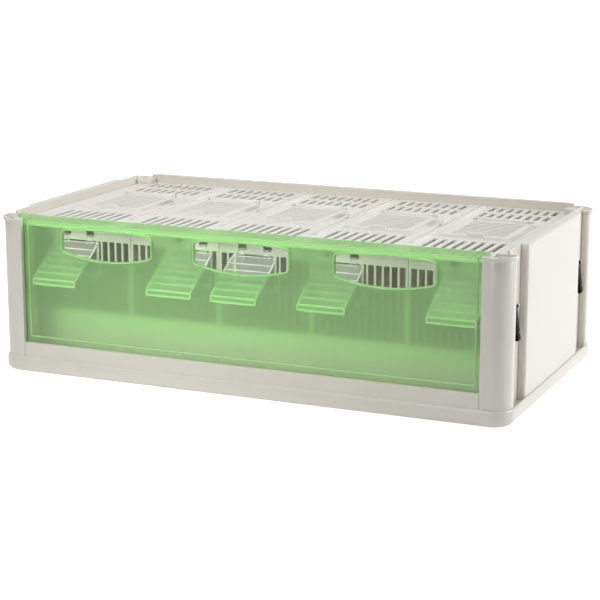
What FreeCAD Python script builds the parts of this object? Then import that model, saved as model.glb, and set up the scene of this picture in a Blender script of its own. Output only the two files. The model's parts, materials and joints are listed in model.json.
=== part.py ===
import FreeCAD, Part
import math
import os
from types import SimpleNamespace

import Sketcher

# Driving sizes in millimetres, one row of the sheet each
SIZES = {
    # Whole carrier
    "overall_width": 600.0,
    "overall_depth": 334.0,
    "overall_height": 180.0,
    "lip_overhang": 2.0,
    "cut_margin": 1.0,
    # Base tray
    "tray_height": 15.0,
    "tray_corner_radius": 22.0,
    "tray_foot_round": 7.0,
    "tray_lip_round": 1.2,
    "tray_rim_width": 14.0,
    "tray_corner_margin": 2.0,
    "floor_top": 5.0,
    "floor_thickness": 2.6,
    "peg_height": 10.0,
    # Corner posts and their stacking caps
    "post_inset": 2.0,
    "post_width": 29.5,
    "post_depth": 28.0,
    "post_drop": 4.0,
    "post_round": 20.0,
    "post_back_round": 5.0,
    "post_wall": 2.4,
    "inner_round_share": 0.9,
    "collar_height": 4.0,
    "collar_proud": 1.8,
    "collar_rim": 2.0,
    "collar_recess": 2.4,
    "cap_spigot_depth": 10.0,
    "cap_wall": 1.8,
    "part_fit": 0.25,
    # Slides for the front panel and the rear wall
    "slide_depth": 7.0,
    "slide_end_gap": 0.4,
    "slide_fit": 0.3,
    "panel_setback": 6.0,
    "panel_thickness": 3.0,
    "panel_corner_radius": 3.0,
    "panel_bead_inset": 5.5,
    "panel_bead_lift": 6.5,
    "panel_bead_drop": 6.5,
    "panel_bead_width": 1.2,
    "panel_bead_proud": 0.8,
    "rear_setback": 6.0,
    "rear_thickness": 3.0,
    "rear_rim_depth": 4.0,
    "rear_rim_height": 3.5,
    # Front rail
    "rail_front_top": 34.0,
    "rail_back_top": 33.0,
    "rail_slot_floor": 29.0,
    "rail_wall": 2.6,
    "rail_back_wall": 3.0,
    # Oval holes in the panel
    "oval_width": 111.0,
    "oval_pitch_share": 1.4685,
    "oval_end_drop": 38.0,
    "oval_end_height": 23.0,
    "oval_bottom_bulge": 8.0,
    "oval_top_bulge": 3.0,
    "oval_corner_radius": 5.0,
    "oval_rim_width": 2.6,
    "oval_rim_share": 0.6,
    "oval_rim_proud": 1.4,
    # Side walls and covers
    "cover_depth": 8.0,
    "groove_width": 35.0,
    "cover_wall": 2.4,
    "cover_edge_round": 4.0,
    "cover_top_round": 2.0,
    "sheet_thickness": 2.6,
    "sheet_tuck": 4.0,
    "ledge_width": 4.4,
    "ledge_depth": 3.8,
    "ledge_inset": 14.0,
    "guide_width": 3.4,
    "guide_thickness": 2.2,
    "guide_fit": 0.35,
    # Lid grille
    "lid_drop": 10.0,
    "lid_thickness": 3.0,
    "lid_gap": 0.6,
    "lid_front_gap": 1.0,
    "lid_rib_width": 2.0,
    "lid_rib_height": 2.0,
    "slot_width": 5.4,
    "slot_pitch": 10.8,
    "slot_front_margin": 8.0,
    "slot_hatch_margin": 15.0,
    "slot_rear_margin": 8.4,
    "slot_short_length": 27.0,
    "slot_row_gap": 9.0,
    # Hatches
    "hatch_width": 76.0,
    "hatch_front": 46.0,
    "hatch_thickness": 2.6,
    "hatch_overlap": 4.0,
    "hatch_side_gap": 1.0,
    "hatch_hinge_y": 53.0,
    "hatch_barrel_radius": 2.6,
    "hatch_barrel_half": 30.0,
    "hatch_barrel_lift": 0.3,
    "hatch_back_gap": 5.2,
    "hatch_slot_length": 60.0,
    "hatch_slot_width": 3.8,
    "hatch_slot_pitch": 8.0,
    "hatch_tab_width": 18.0,
    "hatch_tab_depth": 4.0,
    "hatch_tab_height": 3.0,
    "hinge_pin_radius": 1.2,
    "ear_thickness": 4.0,
    "ear_half_depth": 3.2,
    "ear_gap": 0.4,
    "bore_fit": 0.05,
    # Dividers
    "end_bay_margin": 22.5,
    "divider_thickness": 2.0,
    "divider_front_gap": 0.6,
    "divider_rear_gap": 5.0,
    "divider_slot_fit": 0.5,
    "divider_tab_start": 8.0,
    "divider_tab_length": 30.0,
    "divider_tab_height": 8.5,
    "divider_rib_gap": 2.6,
    "rear_guide_depth": 8.0,
    # Inner bar front
    "bars_setback": 68.0,
    "bars_thickness": 3.0,
    "bars_end_gap": 0.6,
    "bars_joint_gap": 0.4,
    "bars_stile": 6.4,
    "bars_bottom_rail": 55.0,
    "bars_rail_drop": 37.0,
    "bars_rail_height": 4.5,
    "hook_window_margin": 1.5,
    "hook_window_height": 10.0,
    "bars_line_lift": 3.0,
    "bars_line_pitch": 5.0,
    "bars_line_height": 1.6,
    "bars_line_depth": 0.8,
    "bars_top_drop": 14.0,
    "bars_bar_width": 2.4,
    "feed_window_width": 45.0,
    "feed_window_drop": 75.0,
    "feed_window_frame": 3.0,
    # Feeders
    "feeder_width": 54.0,
    "feeder_front_gap": 2.5,
    "feeder_back_gap": 0.5,
    "feeder_bottom_drop": 80.0,
    "feeder_front_drop": 73.0,
    "feeder_top_drop": 38.0,
    "feeder_wall": 1.6,
    "feeder_slope_share": 1.25,
    "feeder_outer_offset": 12.0,
    "feeder_inner_offset": 21.0,
    "feeder_middle_offset": 12.0,
    "hook_width": 7.0,
    "hook_spacing": 30.0,
    "hook_thickness": 2.0,
    "hook_drop": 5.0,
    "hook_gap": 0.4,
    # Side clips
    "clip_inset": 20.0,
    "clip_pivot_drop": 62.0,
    "clip_width": 10.0,
    "clip_length": 35.0,
    "clip_top_depth": 3.2,
    "clip_foot_depth": 7.6,
    "clip_foot_height": 6.0,
    "clip_foot_chamfer": 1.5,
    "clip_groove": 1.0,
    "clip_back_gap": 0.4,
    "clip_barrel_radius": 1.6,
    "clip_pivot_out": 2.0,
    "clip_pin_radius": 0.8,
    "lug_thickness": 2.4,
    "lug_gap": 0.4,
    "lug_half_height": 2.2,
    "lug_depth": 3.6,
}

BAYS = 5
SLOTS_PER_BAY = 8
HATCH_SLOTS = 10
BARS_PER_BAY = 12

doc = FreeCAD.newDocument("bird_carrier")
sheet = doc.addObject("Spreadsheet::Sheet", "dims")
for row, (alias, number) in enumerate(SIZES.items(), start=1):
    sheet.set(f"A{row}", alias)
    sheet.set(f"B{row}", str(number))
    sheet.setAlias(f"B{row}", alias)
doc.recompute()


class Size:
    """A length that carries its sheet formula together with its present value."""

    def __init__(self, text, value):
        self.text = text
        self.value = value

    @staticmethod
    def of(item):
        return item if isinstance(item, Size) else Size(str(float(item)), float(item))

    def __add__(self, other):
        other = Size.of(other)
        return Size(f"({self.text} + {other.text})", self.value + other.value)

    def __sub__(self, other):
        other = Size.of(other)
        return Size(f"({self.text} - {other.text})", self.value - other.value)

    def __mul__(self, other):
        other = Size.of(other)
        return Size(f"({self.text} * {other.text})", self.value * other.value)

    def __truediv__(self, other):
        other = Size.of(other)
        return Size(f"({self.text} / {other.text})", self.value / other.value)

    def __neg__(self):
        return Size(f"(-1 * {self.text})", -self.value)


d = SimpleNamespace(**{alias: Size(f"dims.{alias}", float(getattr(sheet, alias))) for alias in SIZES})

# Sizes that follow from the driving ones
half_w = d.overall_width / 2
half_d = d.overall_depth / 2
cover_x = half_w - d.lip_overhang
face_y = half_d - d.lip_overhang
post_x = half_w - d.post_inset
post_in_x = post_x - d.post_width
post_in_y = face_y - d.post_depth
panel_front = face_y - d.panel_setback
panel_back = panel_front - d.panel_thickness
rear_out = face_y - d.rear_setback
rear_in = rear_out - d.rear_thickness
slide_x = post_in_x + d.slide_depth
slide_half = slide_x - d.slide_end_gap
sheet_out = cover_x - d.cover_depth
sheet_in = sheet_out - d.sheet_thickness
sheet_end = post_in_y + d.sheet_tuck
slot_end = sheet_end + d.slide_end_gap
cavity_x0 = slide_x + d.post_wall
cavity_x1 = post_x - d.post_wall
cavity_y0 = slot_end + d.post_wall
cavity_y1 = face_y - d.post_wall
cavity_round = (cavity_x1 - cavity_x0) * d.inner_round_share
floor_bottom = d.floor_top - d.floor_thickness
floor_corner_x = post_in_x - d.tray_corner_margin
floor_corner_y = post_in_y - d.tray_corner_margin
post_top = d.overall_height - d.post_drop
collar_bottom = post_top - d.collar_height
cover_half = post_in_y - d.groove_width
ledge_half = cover_half - d.ledge_inset
clip_y = cover_half + d.clip_inset
clip_pivot_z = d.overall_height - d.clip_pivot_drop
lid_top = d.overall_height - d.lid_drop
lid_bottom = lid_top - d.lid_thickness
lid_half = sheet_in - d.lid_gap
lid_end_half = post_in_x - d.lid_gap
lid_step_y = post_in_y - d.lid_gap
lid_front = panel_back - d.lid_front_gap
lid_rear = rear_in - d.lid_gap
slot_front_start = lid_front - d.slot_front_margin
slot_front_length = slot_front_start - d.hatch_front - d.slot_hatch_margin
slot_rear_start = lid_rear - d.slot_rear_margin - d.slot_short_length
slot_mid_start = slot_rear_start - d.slot_row_gap - d.slot_short_length
bay_pitch = (d.overall_width - d.end_bay_margin * 2) / BAYS
oval_pitch = bay_pitch * d.oval_pitch_share
oval_end_bottom = d.overall_height - d.oval_end_drop
hinge_z = lid_top + d.hatch_barrel_radius + d.hatch_barrel_lift
bars_y = face_y - d.bars_setback
bars_front = bars_y + d.bars_thickness / 2
bars_back = bars_y - d.bars_thickness / 2
bars_half = half_w - d.tray_rim_width - d.bars_end_gap
bars_rail_bottom = d.overall_height - d.bars_rail_drop
bars_top = d.overall_height - d.bars_top_drop
feed_window_bottom = d.overall_height - d.feed_window_drop
feeder_bottom = d.overall_height - d.feeder_bottom_drop
feeder_front_top = d.overall_height - d.feeder_front_drop
feeder_top = d.overall_height - d.feeder_top_drop
divider_front = bars_back - d.divider_front_gap
divider_rear = rear_in - d.divider_rear_gap
pivot_x = sheet_out + d.clip_pivot_out


def bind(obj, prop, item):
    """Ties one property of an object to a size's formula."""
    obj.setExpression(prop, Size.of(item).text)


def block(name, x, y, z):
    """Makes a plain box between pairs of limits along X, Y and Z."""
    obj = doc.addObject("Part::Box", name)
    for prop, axis, (low, high) in zip(("Length", "Width", "Height"), "xyz", (x, y, z)):
        bind(obj, prop, Size.of(high) - low)
        bind(obj, f"Placement.Base.{axis}", low)
    return obj


def rod(name, start, direction, radius, length):
    """Makes a round bar from a start point along a direction."""
    obj = doc.addObject("Part::Cylinder", name)
    turn = FreeCAD.Rotation(FreeCAD.Vector(0, 0, 1), FreeCAD.Vector(*direction))
    obj.Placement = FreeCAD.Placement(FreeCAD.Vector(), turn)
    bind(obj, "Radius", radius)
    bind(obj, "Height", length)
    for axis, item in zip("xyz", start):
        bind(obj, f"Placement.Base.{axis}", item)
    return obj


def join(label, pieces):
    """Fuses pieces into one object with a label."""
    obj = doc.addObject("Part::MultiFuse", label)
    obj.Shapes = pieces
    obj.Refine = True
    obj.Label = label
    return obj


def group(label, pieces):
    """Keeps separate solids together as one labelled object."""
    obj = doc.addObject("Part::Compound", label)
    obj.Links = pieces
    obj.Label = label
    return obj


def carve(label, base, tool):
    """Cuts a tool out of a base and labels the rest."""
    obj = doc.addObject("Part::Cut", label)
    obj.Base = base
    obj.Tool = tool
    obj.Refine = True
    obj.Label = label
    return obj


def new_body(label):
    """Starts a body with a label."""
    obj = doc.addObject("PartDesign::Body", label)
    obj.Label = label
    return obj


def origin_of(body, role):
    """Returns the body's own origin plane or axis with this role."""
    return [item for item in body.Origin.OriginFeatures if item.Role == role][0]


def sketch_on(body, role, height=0.0):
    """Starts a sketch on an origin plane of the body, raised along the plane's normal."""
    sketch = body.newObject("Sketcher::SketchObject", "Sketch")
    sketch.AttachmentSupport = (origin_of(body, role), [""])
    sketch.MapMode = "FlatFace"
    bind(sketch, "AttachmentOffset.Base.z", height)
    return sketch


def pin_point(sketch, edge, place, point):
    """Holds one point of a sketch edge at a pair of sizes from the sketch's origin."""
    for kind, item in zip(("DistanceX", "DistanceY"), point):
        item = Size.of(item)
        index = sketch.addConstraint(Sketcher.Constraint(kind, -1, 1, edge, place, item.value))
        sketch.setExpression(f"Constraints[{index}]", item.text)


def outline(sketch, points, arcs=None):
    """Draws a closed outline through the points; arcs gives the radius of edges that bow outwards."""
    arcs = arcs or {}
    first = sketch.GeometryCount
    count = len(points)
    spots = [FreeCAD.Vector(Size.of(x).value, Size.of(y).value, 0) for x, y in points]
    for i, start in enumerate(spots):
        end = spots[(i + 1) % count]
        if i in arcs:
            half = (end - start) / 2
            rise = math.sqrt(arcs[i].value ** 2 - half.Length ** 2)
            centre = start + half + FreeCAD.Vector(-half.y, half.x, 0).normalize() * rise
            angles = [math.atan2(spot.y - centre.y, spot.x - centre.x) for spot in (start, end)]
            circle = Part.Circle(centre, FreeCAD.Vector(0, 0, 1), arcs[i].value)
            sketch.addGeometry(Part.ArcOfCircle(circle, *angles), False)
        else:
            sketch.addGeometry(Part.LineSegment(start, end), False)
    for i in range(count):
        follower = first + (i + 1) % count
        sketch.addConstraint(Sketcher.Constraint("Coincident", first + i, 2, follower, 1))
    for i, point in enumerate(points):
        pin_point(sketch, first + i, 1, point)
    for i, radius in arcs.items():
        index = sketch.addConstraint(Sketcher.Constraint("Radius", first + i, radius.value))
        sketch.setExpression(f"Constraints[{index}]", radius.text)


def rectangle(sketch, x0, x1, y0, y1):
    """Draws a rectangle between two pairs of limits."""
    outline(sketch, [(x0, y0), (x1, y0), (x1, y1), (x0, y1)])


def corner_plan(sketch, x, y, radius, sx, sy):
    """Draws a rectangle in one quarter of the plan with its outer corner rounded."""
    points = [(x[0], y[0]), (x[1], y[0]), (x[1], y[1] - radius), (x[1] - radius, y[1]), (x[0], y[1])]
    points = [(px * sx, py * sy) for px, py in points]
    if sx * sy > 0:
        outline(sketch, points, {2: radius})
    else:
        outline(sketch, points[::-1], {1: radius})


def disc(sketch, x, y, radius):
    """Draws a circle held by its centre and radius."""
    radius = Size.of(radius)
    centre = FreeCAD.Vector(Size.of(x).value, Size.of(y).value, 0)
    edge = sketch.addGeometry(Part.Circle(centre, FreeCAD.Vector(0, 0, 1), radius.value), False)
    index = sketch.addConstraint(Sketcher.Constraint("Radius", edge, radius.value))
    sketch.setExpression(f"Constraints[{index}]", radius.text)
    pin_point(sketch, edge, 3, (x, y))


def pad(body, sketch, length, back=False):
    """Raises a sketch along its normal, or against it."""
    feature = body.newObject("PartDesign::Pad", "Pad")
    feature.Profile = sketch
    feature.Reversed = back
    bind(feature, "Length", length)
    return feature


def pocket(body, sketch, length, back=False):
    """Cuts a sketch against its normal, or along it."""
    feature = body.newObject("PartDesign::Pocket", "Pocket")
    feature.Profile = sketch
    feature.Reversed = back
    bind(feature, "Length", length)
    return feature


def steps(body, axis, pitch, count):
    """Sets up evenly spaced steps along an axis."""
    pattern = body.newObject("PartDesign::LinearPattern", "Pattern")
    pattern.Direction = (origin_of(body, axis), [""])
    pattern.Mode = "Spacing"
    pattern.Occurrences = count
    bind(pattern, "Offset", pitch)
    return pattern


def repeat(body, feature, axis, pitch, count):
    """Repeats a feature along an axis."""
    pattern = steps(body, axis, pitch, count)
    pattern.Originals = [feature]
    body.Tip = pattern


def repeat_groups(body, feature, axis, pitch, count, group_pitch, groups):
    """Repeats a feature along an axis in evenly spaced groups."""
    chain = body.newObject("PartDesign::MultiTransform", "Groups")
    chain.Originals = [feature]
    chain.Transformations = [steps(body, axis, pitch, count), steps(body, axis, group_pitch, groups)]
    body.Tip = chain


def round_edges(body, radius, chosen):
    """Rounds the edges of the body's newest feature that a test picks out."""
    doc.recompute()
    base = body.Tip
    names = [f"Edge{i}" for i, edge in enumerate(base.Shape.Edges, start=1) if chosen(edge)]
    feature = body.newObject("PartDesign::Fillet", "Fillet")
    feature.Base = (base, names)
    bind(feature, "Radius", radius)
    return feature


def upright(x, y):
    """Returns a test for edges that stand upright at a plan position."""

    def test(edge):
        box = edge.BoundBox
        thin = box.XLength < 1e-4 and box.YLength < 1e-4
        return thin and abs(box.XMin - Size.of(x).value) < 1e-3 and abs(box.YMin - Size.of(y).value) < 1e-3

    return test


def level(z):
    """Returns a test for edges that lie flat at a height."""

    def test(edge):
        box = edge.BoundBox
        return abs(box.ZMin - Size.of(z).value) < 1e-3 and abs(box.ZMax - Size.of(z).value) < 1e-3

    return test


def bay_centre(number):
    """Returns the middle of a compartment along X, numbered from the left."""
    return bay_pitch * (number - (BAYS + 1) / 2)


def floor_plan(sketch, inset):
    """Draws the floor's outline, which leaves wide corners for the posts, drawn in by a fit."""
    inner_x = half_w - d.tray_rim_width - inset
    inner_y = half_d - d.tray_rim_width - inset
    corner_x = floor_corner_x - inset
    corner_y = floor_corner_y - inset
    corner_path = [(inner_x, corner_y), (corner_x, corner_y), (corner_x, inner_y)]
    points = corner_path + [(-x, y) for x, y in reversed(corner_path)]
    points += [(-x, -y) for x, y in corner_path] + [(x, -y) for x, y in reversed(corner_path)]
    outline(sketch, points)


def base_tray():
    """Makes the base ring with its lip, its wide corners, the floor's ledge and the posts' pegs."""
    body = new_body("base_tray")
    plan = sketch_on(body, "XY_Plane")
    rectangle(plan, -half_w, half_w, -half_d, half_d)
    pad(body, plan, d.tray_height)
    corners = [upright(half_w * sx, half_d * sy) for sx in (-1, 1) for sy in (-1, 1)]
    round_edges(body, d.tray_corner_radius, lambda edge: any(test(edge) for test in corners))
    round_edges(body, d.tray_foot_round, level(0.0))
    round_edges(body, d.tray_lip_round, level(d.tray_height))
    well = sketch_on(body, "XY_Plane", d.tray_height)
    floor_plan(well, Size.of(0.0))
    pocket(body, well, d.tray_height - floor_bottom)
    under = sketch_on(body, "XY_Plane", floor_bottom)
    rectangle(under, -floor_corner_x, floor_corner_x, -floor_corner_y, floor_corner_y)
    pocket(body, under, floor_bottom)
    pegs = sketch_on(body, "XY_Plane", d.tray_height)
    peg_x = (cavity_x0 + d.part_fit, (cavity_x0 + cavity_x1) / 2)
    peg_y = (cavity_y0 + d.part_fit, (cavity_y0 + cavity_y1) / 2)
    for sx in (-1, 1):
        for sy in (-1, 1):
            rectangle(pegs, peg_x[0] * sx, peg_x[1] * sx, peg_y[0] * sy, peg_y[1] * sy)
    pad(body, pegs, d.peg_height)
    return body


def floor_sheet():
    """Makes the floor, a flat sheet that lies on the ledge of the base ring."""
    body = new_body("floor_sheet")
    plan = sketch_on(body, "XY_Plane", floor_bottom)
    floor_plan(plan, d.part_fit)
    pad(body, plan, d.floor_thickness)
    return body


def slide_cuts(sketch, sx, sy, setback, thickness):
    """Draws the slot for a sliding plate and the slot for a side sheet in a post or its cap."""
    near = face_y - setback + d.slide_fit
    far = face_y - setback - thickness - d.slide_fit
    rectangle(sketch, (post_in_x - d.cut_margin) * sx, slide_x * sx, near * sy, far * sy)
    low = sheet_in - d.part_fit
    high = sheet_out + d.part_fit
    rectangle(sketch, low * sx, high * sx, (post_in_y - d.cut_margin) * sy, slot_end * sy)


def corner_post(label, sx, sy, setback, thickness):
    """Makes a hollow corner column with slots for the plate and the sheet that it holds."""
    body = new_body(label)
    plan = sketch_on(body, "XY_Plane", d.tray_height)
    corner_plan(plan, (post_in_x, post_x), (post_in_y, face_y), d.post_round, sx, sy)
    height = collar_bottom - d.tray_height
    pad(body, plan, height)
    round_edges(body, d.post_back_round, upright(post_x * sx, post_in_y * sy))
    cuts = sketch_on(body, "XY_Plane", collar_bottom)
    slide_cuts(cuts, sx, sy, setback, thickness)
    cavity = ((cavity_x0, cavity_x1), (cavity_y0, cavity_y1))
    corner_plan(cuts, *cavity, cavity_round, sx, sy)
    pocket(body, cuts, height)
    return body


def post_cap(label, sx, sy, setback, thickness):
    """Makes a stacking cap: a collar over the post, a spigot inside it and a stepped socket."""
    body = new_body(label)
    plan = sketch_on(body, "XY_Plane", collar_bottom)
    out_x = post_x + d.collar_proud
    out_y = face_y + d.collar_proud
    corner_plan(plan, (post_in_x, out_x), (post_in_y, out_y), d.post_round + d.collar_proud, sx, sy)
    pad(body, plan, d.collar_height)
    round_edges(body, d.post_back_round, upright(out_x * sx, post_in_y * sy))
    spigot = sketch_on(body, "XY_Plane", collar_bottom)
    in_x = (cavity_x0 + d.part_fit, cavity_x1 - d.part_fit)
    in_y = (cavity_y0 + d.part_fit, cavity_y1 - d.part_fit)
    corner_plan(spigot, in_x, in_y, cavity_round - d.part_fit, sx, sy)
    pad(body, spigot, d.cap_spigot_depth, back=True)
    cuts = sketch_on(body, "XY_Plane", post_top)
    slide_cuts(cuts, sx, sy, setback, thickness)
    pocket(body, cuts, d.collar_height)
    recess = sketch_on(body, "XY_Plane", post_top)
    rim_x = (slide_x + d.cap_wall, out_x - d.collar_rim)
    rim_y = (slot_end + d.cap_wall, out_y - d.collar_rim)
    corner_plan(recess, rim_x, rim_y, (rim_x[1] - rim_x[0]) * d.inner_round_share, sx, sy)
    pocket(body, recess, d.collar_recess)
    socket = sketch_on(body, "XY_Plane", post_top)
    well_x = (in_x[0] + d.cap_wall, in_x[1] - d.cap_wall)
    well_y = (in_y[0] + d.cap_wall, in_y[1] - d.cap_wall)
    corner_plan(socket, well_x, well_y, (well_x[1] - well_x[0]) * d.inner_round_share, sx, sy)
    pocket(body, socket, d.collar_height + d.cap_spigot_depth - d.cap_wall)
    return body


def front_rail():
    """Makes the channel under the front panel, open below."""
    body = new_body("front_rail")
    half = post_in_x - d.part_fit
    section = sketch_on(body, "YZ_Plane", -half)
    slot_y = (panel_front + d.slide_fit, panel_back - d.slide_fit)
    back_y = slot_y[1] - d.rail_back_wall
    roof = d.rail_slot_floor - d.rail_wall
    inner = (face_y - d.rail_wall, back_y + d.rail_wall)
    path = [
        (face_y, d.tray_height),
        (face_y, d.rail_front_top),
        (slot_y[0], d.rail_front_top),
        (slot_y[0], d.rail_slot_floor),
        (slot_y[1], d.rail_slot_floor),
        (slot_y[1], d.rail_back_top),
        (back_y, d.rail_back_top),
        (back_y, d.tray_height),
        (inner[1], d.tray_height),
        (inner[1], roof),
        (inner[0], roof),
        (inner[0], d.tray_height),
    ]
    outline(section, [(-y, z) for y, z in path])
    pad(body, section, half * 2)
    return body


def rear_wall():
    """Makes the rear plate with its rim, the lid ledge and the divider guides."""
    z = (d.tray_height, d.overall_height)
    ledge_z = (lid_bottom - d.ledge_depth, lid_bottom)
    rim_half = post_in_x - d.part_fit
    pieces = [
        block("rear_plate", (-slide_half, slide_half), (rear_in, rear_out), z),
        block(
            "rear_rim",
            (-rim_half, rim_half),
            (rear_out, rear_out + d.rear_rim_depth),
            (d.overall_height - d.rear_rim_height, d.overall_height),
        ),
        block("rear_ledge", (-lid_end_half, lid_end_half), (rear_in - d.ledge_width, rear_in), ledge_z),
    ]
    gap = d.divider_thickness / 2 + d.guide_fit
    for number in range(1, BAYS):
        middle = bay_centre(number) + bay_pitch / 2
        for side in (-1, 1):
            edges = (middle + gap * side, middle + (gap + d.guide_thickness) * side)
            x = edges if side > 0 else edges[::-1]
            y = (rear_in - d.rear_guide_depth, rear_in)
            pieces.append(block("rear_guide", x, y, (d.tray_height, ledge_z[1])))
    return join("rear_wall", pieces)


def clip_places():
    """Lists the four clips as a name with the signs of X and Y."""
    names = {(-1, -1): "front_left", (1, -1): "front_right", (-1, 1): "rear_left", (1, 1): "rear_right"}
    return [(name, sx, sy) for (sx, sy), name in names.items()]


def side_wall(label, sx):
    """Makes a side sheet with its lid ledge, the bar front's guides and the clip lugs."""

    def x_span(low, high):
        return (low, high) if sx > 0 else (-Size.of(high), -Size.of(low))

    pieces = [
        block("sheet", x_span(sheet_in, sheet_out), (-sheet_end, sheet_end), (d.tray_height, d.overall_height)),
        block(
            "ledge",
            x_span(sheet_in - d.ledge_width, sheet_in),
            (-ledge_half, ledge_half),
            (lid_bottom - d.ledge_depth, lid_bottom),
        ),
    ]
    guide_z = (d.tray_height, bars_rail_bottom)
    for face, side in ((bars_front, -1), (bars_back, 1)):
        near = -face + d.guide_fit * side
        far = near + d.guide_thickness * side
        y = (far, near) if side < 0 else (near, far)
        pieces.append(block("guide", x_span(sheet_in - d.guide_width, sheet_in), y, guide_z))
    lug_start = d.clip_width / 2 + d.lug_gap
    lug_z = (clip_pivot_z - d.lug_half_height, clip_pivot_z + d.lug_half_height)
    bores = []
    for sy in (-1, 1):
        middle = clip_y * sy
        for y in (
            (middle - lug_start - d.lug_thickness, middle - lug_start),
            (middle + lug_start, middle + lug_start + d.lug_thickness),
        ):
            pieces.append(block("lug", x_span(sheet_out, sheet_out + d.lug_depth), y, lug_z))
        reach = lug_start + d.lug_thickness
        start = (pivot_x * sx, middle - reach, clip_pivot_z)
        bores.append(rod("lug_bore", start, (0, 1, 0), d.clip_pin_radius + d.bore_fit, reach * 2))
    return carve(label, join(f"{label}_solid", pieces), join(f"{label}_bores", bores))


def side_cover(label, sx):
    """Makes the raised panel outside a side sheet, a shallow shell open towards the sheet."""
    body = new_body(label)
    plan = sketch_on(body, "XY_Plane", d.tray_height)
    length = cover_half
    rectangle(plan, sheet_out * sx, cover_x * sx, -length, length)
    height = d.overall_height - d.tray_height
    pad(body, plan, height)
    edges = [upright(cover_x * sx, length * sy) for sy in (-1, 1)]
    round_edges(body, d.cover_edge_round, lambda edge: any(test(edge) for test in edges))

    def top_rim(edge):
        inner = abs(edge.BoundBox.XMin - edge.BoundBox.XMax) < 1e-4
        on_sheet = inner and abs(abs(edge.BoundBox.XMin) - sheet_out.value) < 1e-3
        return level(d.overall_height)(edge) and not on_sheet

    round_edges(body, d.cover_top_round, top_rim)
    hollow = sketch_on(body, "XY_Plane", d.tray_height)
    inner = length - d.cover_wall
    rectangle(hollow, (sheet_out - d.cut_margin) * sx, (cover_x - d.cover_wall) * sx, -inner, inner)
    pocket(body, hollow, height - d.cover_wall, back=True)
    return body


def lid_grille():
    """Makes the slotted lid with its hatch openings, divider slots, ribs and hinge ears."""
    body = new_body("lid_grille")
    plan = sketch_on(body, "XY_Plane", lid_bottom)
    right = [
        (lid_end_half, -lid_front),
        (lid_end_half, -lid_step_y),
        (lid_half, -lid_step_y),
        (lid_half, lid_step_y),
        (lid_end_half, lid_step_y),
        (lid_end_half, lid_rear),
    ]
    outline(plan, right + [(-x, y) for x, y in reversed(right)])
    pad(body, plan, d.lid_thickness)
    first = bay_centre(1)
    half = d.hatch_width / 2
    hatch_rear = d.hatch_hinge_y - d.hatch_back_gap
    rib_in = half + d.hatch_side_gap
    rib_out = rib_in + d.lid_rib_width
    rib_front = -d.hatch_front - d.hatch_side_gap
    frame = sketch_on(body, "XY_Plane", lid_top)
    path = [(rib_out, hatch_rear), (rib_in, hatch_rear), (rib_in, rib_front)]
    path += [(-rib_in, rib_front), (-rib_in, hatch_rear), (-rib_out, hatch_rear)]
    path += [(-rib_out, rib_front - d.lid_rib_width), (rib_out, rib_front - d.lid_rib_width)]
    outline(frame, [(first + x, y) for x, y in path])
    repeat(body, pad(body, frame, d.lid_rib_height), "X_Axis", bay_pitch, BAYS)

    ears = sketch_on(body, "XY_Plane", lid_top)
    ear_in = d.hatch_barrel_half + d.ear_gap
    ear_y = (d.hatch_hinge_y - d.ear_half_depth, d.hatch_hinge_y + d.ear_half_depth)
    for sx in (-1, 1):
        rectangle(ears, first + ear_in * sx, first + (ear_in + d.ear_thickness) * sx, *ear_y)
    ear_height = hinge_z - lid_top + d.hatch_barrel_radius
    repeat(body, pad(body, ears, ear_height), "X_Axis", bay_pitch, BAYS)
    bore = sketch_on(body, "YZ_Plane", lid_half)
    disc(bore, d.hatch_hinge_y, hinge_z, d.hinge_pin_radius + d.bore_fit)
    pocket(body, bore, lid_half * 2)

    slot_ribs = sketch_on(body, "XY_Plane", lid_top)
    middle = first + bay_pitch / 2
    rib_near = d.divider_thickness / 2 + d.divider_rib_gap
    slot_y = (-divider_front - d.divider_slot_fit, divider_rear + d.divider_slot_fit)
    for sx in (-1, 1):
        rectangle(slot_ribs, middle + rib_near * sx, middle + (rib_near + d.lid_rib_width) * sx, *slot_y)
    repeat(body, pad(body, slot_ribs, d.lid_rib_height), "X_Axis", bay_pitch, BAYS - 1)

    opening = sketch_on(body, "XY_Plane", lid_top)
    open_half = half - d.hatch_overlap
    open_y = (-d.hatch_front + d.hatch_overlap, hatch_rear - d.hatch_overlap)
    rectangle(opening, first - open_half, first + open_half, *open_y)
    repeat(body, pocket(body, opening, d.lid_thickness), "X_Axis", bay_pitch, BAYS)

    dividers = sketch_on(body, "XY_Plane", lid_top)
    slot_half = d.divider_thickness / 2 + d.divider_slot_fit
    rectangle(dividers, middle - slot_half, middle + slot_half, *slot_y)
    repeat(body, pocket(body, dividers, d.lid_thickness), "X_Axis", bay_pitch, BAYS - 1)

    slots = sketch_on(body, "XY_Plane", lid_top)
    start = first - d.slot_pitch * ((SLOTS_PER_BAY - 1) / 2)
    for low, length in (
        (-slot_front_start, slot_front_length),
        (slot_mid_start, d.slot_short_length),
        (slot_rear_start, d.slot_short_length),
    ):
        rectangle(slots, start - d.slot_width / 2, start + d.slot_width / 2, low, low + length)
    cut = pocket(body, slots, d.lid_thickness)
    repeat_groups(body, cut, "X_Axis", d.slot_pitch, SLOTS_PER_BAY, bay_pitch, BAYS)
    return body


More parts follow.
